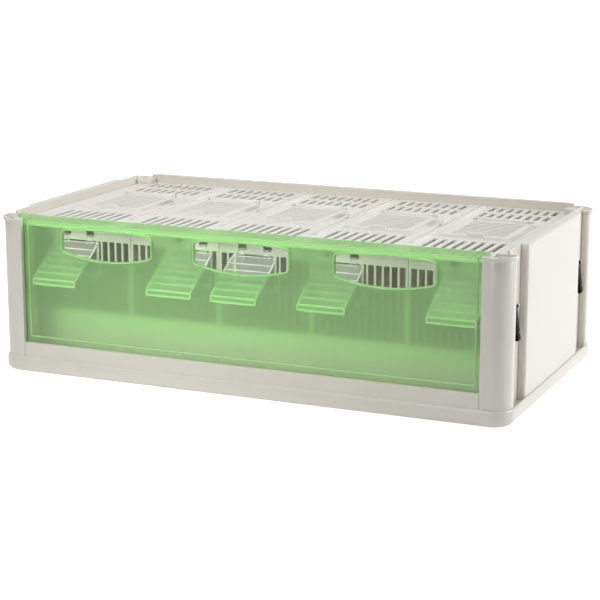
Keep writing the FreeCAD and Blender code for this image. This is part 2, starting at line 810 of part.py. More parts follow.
def hatch(number):
    """Makes a hatch: a slotted plate over its opening with a hinge barrel and a finger tab."""
    body = new_body(f"hatch_{number}")
    plan = sketch_on(body, "XY_Plane", lid_top)
    half = d.hatch_width / 2
    web = d.hatch_barrel_half
    rear = d.hatch_hinge_y - d.hatch_back_gap
    right = [(half, -d.hatch_front), (half, rear), (web, rear), (web, d.hatch_hinge_y)]
    outline(plan, right + [(-x, y) for x, y in reversed(right)])
    pad(body, plan, d.hatch_thickness)
    barrel = sketch_on(body, "YZ_Plane", -web)
    disc(barrel, d.hatch_hinge_y, hinge_z, d.hatch_barrel_radius)
    pad(body, barrel, web * 2)
    bore = sketch_on(body, "YZ_Plane", web)
    disc(bore, d.hatch_hinge_y, hinge_z, d.hinge_pin_radius + d.bore_fit)
    pocket(body, bore, web * 2)
    tab = sketch_on(body, "XY_Plane", lid_top + d.hatch_thickness)
    tab_half = d.hatch_tab_width / 2
    rectangle(tab, -tab_half, tab_half, -d.hatch_front, -d.hatch_front + d.hatch_tab_depth)
    pad(body, tab, d.hatch_tab_height)
    slots = sketch_on(body, "XY_Plane", lid_top + d.hatch_thickness)
    middle = (rear - d.hatch_front) / 2
    start = middle - d.hatch_slot_pitch * ((HATCH_SLOTS - 1) / 2)
    slot_half = d.hatch_slot_length / 2
    width = d.hatch_slot_width / 2
    rectangle(slots, -slot_half, slot_half, start - width, start + width)
    repeat(body, pocket(body, slots, d.hatch_thickness), "Y_Axis", d.hatch_slot_pitch, HATCH_SLOTS)
    bind(body, "Placement.Base.x", bay_centre(number))
    return body


def hinge_pin(number):
    """Makes the round pin that a hatch turns on."""
    half = d.hatch_barrel_half + d.ear_gap + d.ear_thickness
    pin = rod(
        f"hatch_pin_{number}",
        (bay_centre(number) - half, d.hatch_hinge_y, hinge_z),
        (1, 0, 0),
        d.hinge_pin_radius,
        half * 2,
    )
    pin.Label = f"hatch_pin_{number}"
    return pin


def divider(number):
    """Makes a divider plate with the finger tab that stands above the lid."""
    body = new_body(f"divider_{number}")
    side = sketch_on(body, "YZ_Plane", -(d.divider_thickness / 2))
    tab_end = d.divider_tab_start + d.divider_tab_length
    tab_top = lid_top + d.divider_tab_height
    outline(
        side,
        [
            (-divider_front, d.floor_top),
            (divider_rear, d.floor_top),
            (divider_rear, lid_top),
            (tab_end, lid_top),
            (tab_end, tab_top),
            (d.divider_tab_start, tab_top),
            (d.divider_tab_start, lid_top),
            (-divider_front, lid_top),
        ],
    )
    pad(body, side, d.divider_thickness)
    bind(body, "Placement.Base.x", bay_centre(number) + bay_pitch / 2)
    return body


def feeder_offset(number):
    """Returns how far a feeder hangs from the middle of its compartment, numbered from the left."""
    outer = d.feeder_outer_offset
    inner = d.feeder_inner_offset
    return (-outer, inner, -d.feeder_middle_offset, -inner, outer)[number - 1]


def bar_front(number):
    """Makes a compartment's upright bars, their lined top band and a framed window for the feeder."""
    body = new_body(f"bar_front_{number}")
    half = (bay_pitch - d.bars_joint_gap) / 2
    end = bars_half - bay_centre(BAYS)
    left = end if number == 1 else half
    right = end if number == BAYS else half
    plate = sketch_on(body, "XZ_Plane", bars_back)
    rectangle(plate, -left, right, d.floor_top, bars_top)
    pad(body, plate, d.bars_thickness)
    run = (bay_pitch - d.bars_stile) / 2
    pitch = (run * 2 + d.bars_bar_width) / BARS_PER_BAY
    gaps = sketch_on(body, "XZ_Plane", bars_front)
    gap_x = (-run, -run + pitch - d.bars_bar_width)
    rectangle(gaps, *gap_x, d.floor_top + d.bars_bottom_rail, bars_rail_bottom)
    repeat(body, pocket(body, gaps, d.bars_thickness), "X_Axis", pitch, BARS_PER_BAY)
    rail_top = bars_rail_bottom + d.bars_rail_height
    lines = sketch_on(body, "XZ_Plane", bars_front)
    low = rail_top + d.bars_line_lift
    for z in (low, low + d.bars_line_pitch):
        rectangle(lines, -left, right, z, z + d.bars_line_height)
    pocket(body, lines, d.bars_line_depth)
    x = feeder_offset(number)
    hooks = sketch_on(body, "XZ_Plane", bars_front)
    hook_half = d.hook_width / 2 + d.hook_window_margin
    for middle in (x - d.hook_spacing / 2, x + d.hook_spacing / 2):
        rectangle(hooks, middle - hook_half, middle + hook_half, rail_top, rail_top + d.hook_window_height)
    pocket(body, hooks, d.bars_thickness)
    window_half = d.feed_window_width / 2
    frame_half = window_half + d.feed_window_frame
    low = feed_window_bottom - d.feed_window_frame
    frame = sketch_on(body, "XZ_Plane", bars_back)
    rectangle(frame, x - frame_half, x + frame_half, low, bars_rail_bottom + d.bars_rail_height / 2)
    pad(body, frame, d.bars_thickness)
    window = sketch_on(body, "XZ_Plane", bars_front)
    rectangle(window, x - window_half, x + window_half, feed_window_bottom, bars_rail_bottom)
    pocket(body, window, d.bars_thickness)
    bind(body, "Placement.Base.x", bay_centre(number))
    return body


def feeder(number):
    """Makes a wedge feeder, open at the back, with two hooks over the rail of the bar front."""
    body = new_body(f"feeder_{number}")
    front = panel_back - d.feeder_front_gap
    back = bars_front + d.feeder_back_gap
    slope = (feeder_top - feeder_front_top) / (front - back)
    half = d.feeder_width / 2
    side = sketch_on(body, "YZ_Plane", -half)
    outline(
        side,
        [
            (-front, feeder_bottom),
            (-back, feeder_bottom),
            (-back, feeder_top),
            (-front, feeder_front_top),
        ],
    )
    pad(body, side, d.feeder_width)
    inside = sketch_on(body, "YZ_Plane", half - d.feeder_wall)
    near = front - d.feeder_wall
    past = back - d.cut_margin
    floor = feeder_bottom + d.feeder_wall
    drop = d.feeder_wall * d.feeder_slope_share
    low_z = feeder_front_top + slope * d.feeder_wall - drop
    high_z = feeder_front_top + slope * (front - past) - drop
    outline(inside, [(-near, floor), (-past, floor), (-past, high_z), (-near, low_z)])
    pocket(body, inside, d.feeder_width - d.feeder_wall * 2)
    rail_top = bars_rail_bottom + d.bars_rail_height
    root = feeder_top - d.feeder_wall * 2
    tip = bars_back - d.hook_gap
    hook_start = -(d.hook_spacing + d.hook_width) / 2
    hook = sketch_on(body, "YZ_Plane", hook_start)
    outline(
        hook,
        [
            (-(back + d.hook_thickness), root),
            (-back, root),
            (-back, rail_top),
            (-tip, rail_top),
            (-tip, rail_top - d.hook_drop),
            (-(tip - d.hook_thickness), rail_top - d.hook_drop),
            (-(tip - d.hook_thickness), rail_top + d.hook_thickness),
            (-(back + d.hook_thickness), rail_top + d.hook_thickness),
        ],
    )
    repeat(body, pad(body, hook, d.hook_width), "X_Axis", d.hook_spacing, 2)
    bind(body, "Placement.Base.x", bay_centre(number) + feeder_offset(number))
    return body


def oval(sketch, grow):
    """Draws the left oval, grown outwards by a margin."""
    half = d.oval_width / 2 + grow
    low = oval_end_bottom - grow * d.oval_rim_share
    high = oval_end_bottom + d.oval_end_height + grow * d.oval_rim_share
    bow_low = d.oval_bottom_bulge + grow - grow * d.oval_rim_share
    bow_high = d.oval_top_bulge + grow - grow * d.oval_rim_share
    radii = [(half * half + bow * bow) / (bow * 2) for bow in (bow_low, bow_high)]
    x = -oval_pitch
    points = [(x - half, low), (x + half, low), (x + half, high), (x - half, high)]
    outline(sketch, points, {0: radii[0], 2: radii[1]})


def front_panel():
    """Makes the see-through front plate with a beaded border and three rimmed oval holes."""
    body = new_body("front_panel")
    plate = sketch_on(body, "XZ_Plane", panel_back)
    rectangle(plate, -slide_half, slide_half, d.rail_slot_floor, d.overall_height)
    pad(body, plate, d.panel_thickness)

    def top_corner(edge):
        box = edge.BoundBox
        across = box.XLength < 1e-4 and box.ZLength < 1e-4
        return across and abs(box.ZMin - d.overall_height.value) < 1e-3

    round_edges(body, d.panel_corner_radius, top_corner)
    bead = sketch_on(body, "XZ_Plane", panel_front)
    bead_half = post_in_x - d.panel_bead_inset
    bead_z = (d.rail_front_top + d.panel_bead_lift, d.overall_height - d.panel_bead_drop)
    rectangle(bead, -bead_half, bead_half, *bead_z)
    inner = bead_half - d.panel_bead_width
    rectangle(bead, -inner, inner, bead_z[0] + d.panel_bead_width, bead_z[1] - d.panel_bead_width)
    pad(body, bead, d.panel_bead_proud)
    rim = sketch_on(body, "XZ_Plane", panel_front)
    oval(rim, d.oval_rim_width)
    repeat(body, pad(body, rim, d.oval_rim_proud), "X_Axis", oval_pitch, 3)
    hole = sketch_on(body, "XZ_Plane", panel_front + d.oval_rim_proud)
    oval(hole, Size.of(0.0))
    repeat(body, pocket(body, hole, d.oval_rim_proud + d.panel_thickness), "X_Axis", oval_pitch, 3)

    def oval_corner(edge):
        box = edge.BoundBox
        across = box.XLength < 1e-4 and box.ZLength < 1e-4
        return across and box.YLength > d.panel_thickness.value and box.ZMin > d.rail_back_top.value

    round_edges(body, d.oval_corner_radius, oval_corner)
    return body


def side_clip(label, sx, sy):
    """Makes a lever clip, thin at its pivot and deep at its foot, with a groove above the foot."""
    body = new_body(label)
    near = clip_y * sy + d.clip_width / 2
    section = sketch_on(body, "XZ_Plane", -near)
    pivot_z = clip_pivot_z
    foot_z = pivot_z - d.clip_length
    waist_z = foot_z + d.clip_foot_height
    deep = d.clip_foot_depth
    path = [
        (d.clip_back_gap, pivot_z),
        (d.clip_back_gap, foot_z + d.clip_foot_chamfer),
        (d.clip_back_gap + d.clip_foot_chamfer, foot_z),
        (deep - d.clip_foot_chamfer, foot_z),
        (deep, foot_z + d.clip_foot_chamfer),
        (deep, waist_z),
        (deep - d.clip_groove, waist_z + d.clip_groove / 2),
        (deep - d.clip_groove, waist_z + d.clip_groove),
        (deep - d.clip_groove / 5, waist_z + d.clip_groove * 3 / 2),
        (d.clip_top_depth, pivot_z),
    ]
    outline(section, [((sheet_out + x) * sx, z) for x, z in path])
    pad(body, section, d.clip_width)
    barrel = sketch_on(body, "XZ_Plane", -near)
    disc(barrel, pivot_x * sx, pivot_z, d.clip_barrel_radius)
    pad(body, barrel, d.clip_width)
    bore = sketch_on(body, "XZ_Plane", -near + d.clip_width)
    disc(bore, pivot_x * sx, pivot_z, d.clip_pin_radius + d.bore_fit)
    pocket(body, bore, d.clip_width)
    return body


def clip_pins():
    """Makes the four clip pivots as one group."""
    reach = d.clip_width / 2 + d.lug_gap + d.lug_thickness
    pins = []
    for name, sx, sy in clip_places():
        start = (pivot_x * sx, clip_y * sy - reach, clip_pivot_z)
        pins.append(rod(f"pin_{name}", start, (0, 1, 0), d.clip_pin_radius, reach * 2))
    return group("clip_pins", pins)


def build():
    """Makes every sub-part and returns them in order."""
    parts = [base_tray(), floor_sheet(), front_rail(), rear_wall(), lid_grille(), front_panel()]
    for name, sx, sy in clip_places():
        held = (d.panel_setback, d.panel_thickness) if sy < 0 else (d.rear_setback, d.rear_thickness)
        parts.append(corner_post(f"post_{name}", sx, sy, *held))
        parts.append(post_cap(f"cap_{name}", sx, sy, *held))
        parts.append(side_clip(f"clip_{name}", sx, sy))
    for name, sx in (("left", -1), ("right", 1)):
        parts.append(side_wall(f"side_wall_{name}", sx))
        parts.append(side_cover(f"side_cover_{name}", sx))
    for number in range(1, BAYS + 1):
        parts += [hatch(number), hinge_pin(number), bar_front(number), feeder(number)]
    parts += [divider(number) for number in range(1, BAYS)]
    parts.append(clip_pins())
    return parts


def write(parts):
    """Checks every object and writes each sub-part to its own STEP file."""
    doc.recompute()
    for obj in doc.Objects:
        if "Invalid" in obj.State or "Error" in obj.State:
            raise RuntimeError(f"{obj.Label} did not compute")
    os.makedirs("parts", exist_ok=True)
    for part in parts:
        shape = part.Shape
        if shape.isNull() or not shape.isValid() or not shape.Solids:
            raise RuntimeError(f"{part.Label} is not a valid solid")
        shape.exportStep(f"parts/{part.Label}.step")


write(build())
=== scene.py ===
"""Bird carrier: moulded ivory shell, slotted lid, green sliding front and clear feeders."""

import json
import logging
import math
from dataclasses import dataclass
from enum import Enum

import bpy
import numpy as np
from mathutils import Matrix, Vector


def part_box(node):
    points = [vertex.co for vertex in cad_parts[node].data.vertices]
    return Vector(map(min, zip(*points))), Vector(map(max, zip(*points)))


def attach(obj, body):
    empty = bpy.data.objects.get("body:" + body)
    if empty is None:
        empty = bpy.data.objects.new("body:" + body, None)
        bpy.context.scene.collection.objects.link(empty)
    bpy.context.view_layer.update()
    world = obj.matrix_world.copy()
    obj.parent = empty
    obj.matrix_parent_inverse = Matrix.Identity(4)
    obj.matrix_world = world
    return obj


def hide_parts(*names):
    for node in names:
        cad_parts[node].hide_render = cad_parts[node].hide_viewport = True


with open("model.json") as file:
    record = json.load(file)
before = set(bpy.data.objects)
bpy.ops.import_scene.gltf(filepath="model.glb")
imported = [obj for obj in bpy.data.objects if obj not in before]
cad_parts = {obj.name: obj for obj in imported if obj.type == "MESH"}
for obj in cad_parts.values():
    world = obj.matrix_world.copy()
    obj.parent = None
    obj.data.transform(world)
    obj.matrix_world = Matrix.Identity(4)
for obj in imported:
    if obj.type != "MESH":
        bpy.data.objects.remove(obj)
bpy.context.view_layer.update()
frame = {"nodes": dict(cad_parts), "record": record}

log = logging.getLogger("bird_carrier")

MM = 0.001
WHITE = (1.0, 1.0, 1.0, 1.0)
RIGHTWARD = (1.0, 0.0, 0.0)
REARWARD = (0.0, 1.0, 0.0)
UPWARD = (0.0, 0.0, 1.0)

Place = tuple[float, float, float]
Span = tuple[float, float]
Tree = bpy.types.NodeTree
Socket = bpy.types.NodeSocket
Material = bpy.types.Material


class Slot(Enum):
    """The record's material slots."""

    SHELL = "white_shell"
    INNER = "white_inner"
    GREEN = "green_clear"
    CLEAR = "clear"
    BLACK = "black"
    STEEL = "steel"


def linear(hex_colour: str) -> tuple[float, float, float, float]:
    """Turns an sRGB hex colour into linear RGBA by the standard's curve.

    Args:
        hex_colour: Six hex digits, such as "e8e4da".

    Returns:
        The linear colour with alpha 1.
    """
    srgb = np.array([int(hex_colour[i : i + 2], 16) for i in (0, 2, 4)]) / 255
    rgb = np.where(srgb <= 0.04045, srgb / 12.92, ((srgb + 0.055) / 1.055) ** 2.4)
    return (float(rgb[0]), float(rgb[1]), float(rgb[2]), 1.0)


def add_node(tree: Tree, kind: str, inputs: dict | None = None, **settings: object) -> bpy.types.Node:
    """Adds a node with its settings, values and links.

    Args:
        tree: The node tree.
        kind: The node's type name.
        inputs: Values or source sockets by input name or number.
        settings: Attributes of the node.

    Returns:
        The new node.
    """
    node = tree.nodes.new(kind)
    for name, value in settings.items():
        setattr(node, name, value)
    for name, value in (inputs or {}).items():
        if isinstance(value, bpy.types.NodeSocket):
            tree.links.new(value, node.inputs[name])
        else:
            node.inputs[name].default_value = value
    return node


def noise(tree: Tree, place: Socket, size_mm: float, detail: float) -> Socket:
    """Adds a noise pattern.

    Args:
        tree: The node tree.
        place: The socket with the place on the piece.
        size_mm: How wide the pattern's patches are.
        detail: How many finer layers it has.

    Returns:
        The pattern's socket.
    """
    inputs = {"Vector": place, "Scale": 1 / (size_mm * MM), "Detail": detail}
    return add_node(tree, "ShaderNodeTexNoise", inputs).outputs["Fac"]


def spread(tree: Tree, value: Socket, to: Span, start: Span = (0.0, 1.0), **settings: object) -> Socket:
    """Carries a value from one range to another, held at its ends.

    Args:
        tree: The node tree.
        value: The value's socket.
        to: The range that it gets.
        start: The range that it has.
        settings: Attributes of the node.

    Returns:
        The new value's socket.
    """
    inputs = {"Value": value, "From Min": start[0], "From Max": start[1]}
    inputs |= {"To Min": to[0], "To Max": to[1]}
    return add_node(tree, "ShaderNodeMapRange", inputs, **settings).outputs["Result"]


def bumped(tree: Tree, height: Socket, strength: float, depth_mm: float) -> Socket:
    """Adds a bump.

    Args:
        tree: The node tree.
        height: The pattern's socket.
        strength: How much of the bump shows.
        depth_mm: How deep the pattern is.

    Returns:
        The normal's socket.
    """
    inputs = {"Height": height, "Strength": strength, "Distance": depth_mm * MM}
    return add_node(tree, "ShaderNodeBump", inputs).outputs["Normal"]


def blend(tree: Tree, share: Socket, first: str, second: str) -> Socket:
    """Blends two colours.

    Args:
        tree: The node tree.
        share: The socket with the second colour's share.
        first: The first colour, in hex.
        second: The second colour, in hex.

    Returns:
        The colour's socket.
    """
    inputs = {0: share, 6: linear(first), 7: linear(second)}
    return add_node(tree, "ShaderNodeMix", inputs, data_type="RGBA").outputs[2]


def combine(tree: Tree, operation: str, first: Socket, second: Socket) -> Socket:
    """Combines two values.

    Args:
        tree: The node tree.
        operation: The node's operation, such as "MULTIPLY".
        first: The first value's socket.
        second: The second value's socket.

    Returns:
        The result's socket.
    """
    return add_node(tree, "ShaderNodeMath", {0: first, 1: second}, operation=operation).outputs[0]


def new_material(name: str) -> tuple[Material, Tree]:
    """Makes an empty node material.

    Args:
        name: The material's name.

    Returns:
        The material and its node tree.
    """
    material = bpy.data.materials.new(name)
    material.use_nodes = True
    material.node_tree.nodes.clear()
    return material, material.node_tree


def place_on_piece(tree: Tree) -> Socket:
    """Gives the place on the piece, which patterns follow.

    Args:
        tree: The node tree.

    Returns:
        The socket of the object coordinates.
    """
    return add_node(tree, "ShaderNodeTexCoord").outputs["Object"]


@dataclass(frozen=True)
class MouldedStyrene:
    """High-impact polystyrene from a satin mould: an even ivory white with a soft sheen."""

    name: str
    colour: str
    shade: str
    roughness: float
    sheen_spread: float = 0.05
    mottle_mm: float = 70.0
    grain_mm: float = 1.6
    grain_strength: float = 0.06
    grain_depth_mm: float = 0.4

    def material(self) -> Material:
        """Builds the material: faint mottling in the colour, and a fine satin grain in the bump.

        Returns:
            The material.
        """
        material, tree = new_material(self.name)
        place = place_on_piece(tree)
        mottle = noise(tree, place, self.mottle_mm, 3.0)
        grain = noise(tree, place, self.grain_mm, 2.0)
        gloss = (self.roughness - self.sheen_spread, self.roughness + self.sheen_spread)
        surface = add_node(
            tree,
            "ShaderNodeBsdfPrincipled",
            {
                "Base Color": blend(tree, mottle, self.colour, self.shade),
                "Roughness": spread(tree, mottle, gloss),
                "IOR": 1.55,
                "Subsurface Weight": 0.3,
                "Subsurface Radius": (1.0, 0.95, 0.85),
                "Subsurface Scale": 0.004,
                "Normal": bumped(tree, grain, self.grain_strength, self.grain_depth_mm),
            },
        )
        add_node(tree, "ShaderNodeOutputMaterial", {"Surface": surface.outputs["BSDF"]})
        return material


@dataclass(frozen=True)
class ClearSheet:
    """Clear or tinted moulded styrene: polished, see-through and faintly wavy."""

    name: str
    tint: str
    shadow: str
    roughness: float
    haze: float
    wave_mm: float = 45.0
    wave_strength: float = 0.05
    wave_depth_mm: float = 1.0

    def body(self, tree: Tree, place: Socket) -> dict[str, object]:
        """Gives the sheet's colour and clearness, the same all over.

        Args:
            tree: The node tree.
            place: The socket with the place on the piece.

        Returns:
            Values for the shader's inputs.
        """
        return {"Base Color": linear(self.tint), "Transmission Weight": 1.0 - self.haze}

    def material(self) -> Material:
        """Builds the material: tinted refraction that lets the lamps through, with a faint waviness.

        Returns:
            The material.
        """
        material, tree = new_material(self.name)
        place = place_on_piece(tree)
        wave = noise(tree, place, self.wave_mm, 1.0)
        surface = add_node(
            tree,
            "ShaderNodeBsdfPrincipled",
            {
                "Roughness": self.roughness,
                "IOR": 1.49,
                "Normal": bumped(tree, wave, self.wave_strength, self.wave_depth_mm),
                **self.body(tree, place),
            },
        )
        through = add_node(tree, "ShaderNodeBsdfTransparent", {"Color": linear(self.shadow)})
        shadow_ray = add_node(tree, "ShaderNodeLightPath").outputs["Is Shadow Ray"]
        shaders = {0: shadow_ray, 1: surface.outputs["BSDF"], 2: through.outputs["BSDF"]}
        mix = add_node(tree, "ShaderNodeMixShader", shaders)
        add_node(tree, "ShaderNodeOutputMaterial", {"Surface": mix.outputs["Shader"]})
        return material


@dataclass(frozen=True)
class PaintedGlowSheet(ClearSheet):
    """Tinted sheet that is paler and hazier low down, broken into upright streaks: a painted glow of
    the lit floor behind it.
    """

    # colour of the painted glow low down
    glow_colour: str = "bccdae"
    glow_haze: float = 0.22
    glow_mm: Span = (34.0, 82.0)
    streak_mm: float = 40.0
    streak_squash: Place = (1.0, 1.0, 0.35)
    streak_noise: Span = (0.25, 0.75)
    streak_share: Span = (0.6, 1.0)

    def body(self, tree: Tree, place: Socket) -> dict[str, object]:
        """Fades from the pale painted glow at the foot to the clear tint above, broken up by upright
        streaks.

        Args:
            tree: The node tree.
            place: The socket with the place on the piece.

        Returns:
            Sockets for the shader's inputs.
        """
        height = add_node(tree, "ShaderNodeSeparateXYZ", {0: place}).outputs["Z"]
        low, high = (edge * MM for edge in self.glow_mm)
        fall = spread(tree, height, (1.0, 0.0), (low, high), interpolation_type="SMOOTHSTEP")
        drawn = add_node(tree, "ShaderNodeMapping", {"Vector": place, "Scale": self.streak_squash})
        streaks = noise(tree, drawn.outputs["Vector"], self.streak_mm, 3.0)
        # painted glow's share: strongest at the foot, fading upwards and broken by streaks
        painted_glow = combine(tree, "MULTIPLY", fall, spread(tree, streaks, self.streak_share, self.streak_noise))
        return {
            "Base Color": blend(tree, painted_glow, self.tint, self.glow_colour),
            "Transmission Weight": spread(tree, painted_glow, (1.0 - self.haze, 1.0 - self.glow_haze)),
        }


@dataclass(frozen=True)
class SparkTexturedNylon:
    """Black nylon from a spark-eroded mould: dark, with a dry fine texture."""

    name: str
    colour: str
    roughness: float
    gloss_spread: float = 0.08
    grain_mm: float = 0.7
    grain_strength: float = 0.15
    grain_depth_mm: float = 0.3

    def material(self) -> Material:
        """Builds the material: black with a fine pitted bump.

        Returns:
            The material.
        """
        material, tree = new_material(self.name)
        grain = noise(tree, place_on_piece(tree), self.grain_mm, 2.0)
        gloss = (self.roughness - self.gloss_spread, self.roughness + self.gloss_spread)
        surface = add_node(
            tree,
            "ShaderNodeBsdfPrincipled",
            {
                "Base Color": linear(self.colour),
                "Roughness": spread(tree, grain, gloss),
                "IOR": 1.53,
                "Specular IOR Level": 0.06,
                "Normal": bumped(tree, grain, self.grain_strength, self.grain_depth_mm),
            },
        )
        add_node(tree, "ShaderNodeOutputMaterial", {"Surface": surface.outputs["BSDF"]})
        return material


@dataclass(frozen=True)
class DrawnSteel:
    """Drawn steel wire: grey metal with a fine, uneven gloss."""

    name: str
    colour: str
    roughness: float
    gloss_spread: float = 0.1
    grain_mm: float = 0.5

    def material(self) -> Material:
        """Builds the material: metal whose roughness varies finely.

        Returns:
            The material.
        """
        material, tree = new_material(self.name)
        grain = noise(tree, place_on_piece(tree), self.grain_mm, 2.0)
        gloss = (self.roughness - self.gloss_spread, self.roughness + self.gloss_spread)
        surface = add_node(
            tree,
            "ShaderNodeBsdfPrincipled",
            {
                "Base Color": linear(self.colour),
                "Metallic": 1.0,
                "Roughness": spread(tree, grain, gloss),
            },
        )
        add_node(tree, "ShaderNodeOutputMaterial", {"Surface": surface.outputs["BSDF"]})
        return material


# Paler, milkier finishes for the edges and rims of see-through pieces: painted highlights along them.
HIGHLIGHT_EDGES = {
    Slot.GREEN: ClearSheet("cast_green_acrylic_painted_highlight", "cdf2b8", "d4f8c4", 0.2, 0.6),
    Slot.CLEAR: ClearSheet("clear_styrene_painted_highlight", "fdfffc", "f6faf4", 0.15, 0.9),
}

FINISHES = {
    Slot.SHELL: MouldedStyrene("moulded_ivory_styrene", "ece8df", "e6e1d6", 0.25),
    # The inner white is paler than the shell's, partly its own whiter styrene and partly painted light
    # that brightens the dim interior.
    Slot.INNER: MouldedStyrene("moulded_white_styrene_painted_lit", "f6f4ee", "f0ede6", 0.32),
    # the green sheet has a painted glow low down, paler and hazier towards its foot
    Slot.GREEN: PaintedGlowSheet("cast_green_acrylic", "b6e0a2", "fafdf8", 0.245, 0.13),
    Slot.CLEAR: ClearSheet("clear_styrene", "f4f8f2", "f6faf4", 0.06, 0.2),
    Slot.BLACK: SparkTexturedNylon("black_nylon", "0c0c0c", 0.5),
    Slot.STEEL: DrawnSteel("drawn_steel", "a8a8a6", 0.35),
}


@dataclass
class Surface:
    """A grid of points in millimetres, closed around its second direction and capped where it ends.

    Attributes:
        points: Rings of points, shaped rings by points by three.
        ring_closed: Whether the last ring joins the first.
    """

    points: np.ndarray
    ring_closed: bool = False

    def faces(self, first: int) -> list[list[int]]:
        """Joins neighbouring points into quads, and caps open ends with one face each.

        Args:
            first: The number of the grid's first point in the mesh.

        Returns:
            The faces, turned outwards by the sign of the volume that they enclose.
        """
        rings, around = self.points.shape[:2]
        index = first + np.arange(rings * around).reshape(rings, around)
        ahead = np.roll(index, -1, axis=0)
        rows = slice(None) if self.ring_closed else slice(0, rings - 1)
        beside = np.roll(index, -1, axis=1)
        across = np.roll(ahead, -1, axis=1)
        corners = [index[rows], beside[rows], across[rows], ahead[rows]]
        quads = np.stack(corners, axis=-1).reshape(-1, 4)
        flat = self.points.reshape(-1, 3) - self.points.reshape(-1, 3).mean(axis=0)
        a, b, c, d = (flat[quads[:, k] - first] for k in range(4))
        volume = np.einsum("ij,ij->", a, np.cross(b, c)) + np.einsum("ij,ij->", a, np.cross(c, d))
        ends = [] if self.ring_closed else [index[0][::-1].tolist(), index[-1].tolist()]
        faces = quads.tolist() + ends
        return faces if volume > 0 else [face[::-1] for face in faces]


def repeated(direction: Place | np.ndarray, path: np.ndarray) -> np.ndarray:
    """Repeats one direction for each point of a path.

    Args:
        direction: The direction.
        path: The path's points.

    Returns:
        As many directions as the path has points.
    """
    return np.tile(direction, (len(path), 1))


def sweep(
    path: np.ndarray, side: np.ndarray, up: np.ndarray, profile: np.ndarray, closed: bool = False
) -> Surface:
    """Carries a flat profile along a path.

    Each point is the path's, plus the profile's in the side and up directions.

    Args:
        path: Points in millimetres.
        side: The profile's first direction at each point.
        up: The profile's second direction at each point.
        profile: Points of the profile in millimetres.
        closed: Whether the path returns to its start.

    Returns:
        The swept surface.
    """
    sideways = profile[None, :, :1] * side[:, None, :]
    upwards = profile[None, :, 1:] * up[:, None, :]
    return Surface(path[:, None, :] + sideways + upwards, closed)


def framed(x: Span, z: Span, corner: float, steps: int = 6) -> tuple[np.ndarray, np.ndarray]:
    """Follows an upright rectangle whose corners are quarter circles.

    Args:
        x: Its left and right edges in millimetres.
        z: Its lower and upper edges in millimetres.
        corner: The radius of its corners.
        steps: How many points a corner has.

    Returns:
        The path's points in the plane where y is zero, and the outward direction at each.
    """
    turn = np.linspace(0, np.pi / 2, steps)
    angle = np.repeat(np.array([0.0, 0.5, 1.0, 1.5]) * np.pi, steps) + np.tile(turn, 4)
    out = np.stack([np.cos(angle), np.zeros_like(angle), np.sin(angle)], axis=1)
    left, right = x[0] + corner, x[1] - corner
    low, high = z[0] + corner, z[1] - corner
    middle_x = np.repeat([right, left, left, right], steps)
    middle_z = np.repeat([high, high, low, low], steps)
    return np.stack([middle_x, np.zeros_like(angle), middle_z], axis=1) + corner * out, out


def round_profile(half_side: float, half_up: float, power: float, count: int) -> np.ndarray:
    """Draws a rounded box.

    Cosine and sine of the angle, each raised to two over the power, are multiplied by a half size.

    Args:
        half_side: Half of its size in the first direction.
        half_up: Half of its size in the second direction.
        power: Two for an ellipse, more for a squarer box.
        count: How many points it has.

    Returns:
        The points of the profile.
    """
    turn = np.linspace(0, 2 * np.pi, count, endpoint=False)
    cos, sin = np.cos(turn), np.sin(turn)
    side = half_side * np.sign(cos) * np.abs(cos) ** (2 / power)
    up = half_up * np.sign(sin) * np.abs(sin) ** (2 / power)
    return np.stack([side, up], axis=1)


def oval_profile(half_side: float, half_up: float, count: int) -> np.ndarray:
    """Draws an ellipse.

    Args:
        half_side: Half of its size in the first direction.
        half_up: Half of its size in the second direction.
        count: How many points it has.

    Returns:
        The points of the profile.
    """
    return round_profile(half_side, half_up, 2.0, count)


def add_piece(
    name: str, surfaces: list[Surface], material: Material, body: str
) -> bpy.types.Object:
    """Makes one smooth mesh of several surfaces, and sets it on its body.

    Args:
        name: The piece's name.
        surfaces: Its surfaces.
        material: Its finish.
        body: The body that it moves with.

    Returns:
        The piece.
    """
    starts = np.cumsum([0] + [s.points.shape[0] * s.points.shape[1] for s in surfaces])
    points = np.concatenate([s.points.reshape(-1, 3) for s in surfaces]) * MM
    faces = [face for s, first in zip(surfaces, starts) for face in s.faces(int(first))]
    mesh = bpy.data.meshes.new(name)
    mesh.from_pydata(points.tolist(), [], faces)
    mesh.polygons.foreach_set("use_smooth", np.ones(len(mesh.polygons), dtype=bool))
    mesh.materials.append(material)
    piece = bpy.data.objects.new(name, mesh)
    bpy.context.scene.collection.objects.link(piece)
    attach(piece, body)
    log.info("built %s", name)
    return piece


@dataclass(frozen=True)
class Lamp:
    """A soft lamp: a square softbox, or a soft spot where it has a cone.

    Attributes:
        name: Its name.
        place_m: Where it stands, in metres.
        aim_m: The point that it faces.
        size_m: The side of a softbox, or the radius of a spot's face.
        power_w: Its power in watts.
        cone_deg: The full angle of a spot's cone.
    """

    name: str
    place_m: Place
    aim_m: Place
    size_m: float
    power_w: float
    cone_deg: float | None = None

    def hang(self) -> None:
        """Sets the lamp in its place, turned to its aim."""
        if self.cone_deg is None:
            data = bpy.data.lights.new(self.name, "AREA")
            data.size = self.size_m
        else:
            data = bpy.data.lights.new(self.name, "SPOT")
            data.shadow_soft_size = self.size_m
            data.spot_size = math.radians(self.cone_deg)
            data.spot_blend = 1.0
        data.energy = self.power_w
        lamp = bpy.data.objects.new(self.name, data)
        lamp.location = self.place_m
        facing = Vector(self.aim_m) - Vector(self.place_m)
        lamp.rotation_euler = facing.to_track_quat("-Z", "Y").to_euler()
        bpy.context.scene.collection.objects.link(lamp)


MIDDLE_M = (0.0, 0.0, 0.08)
FRONT_LEFT_M = (-0.12, -0.16, 0.1)

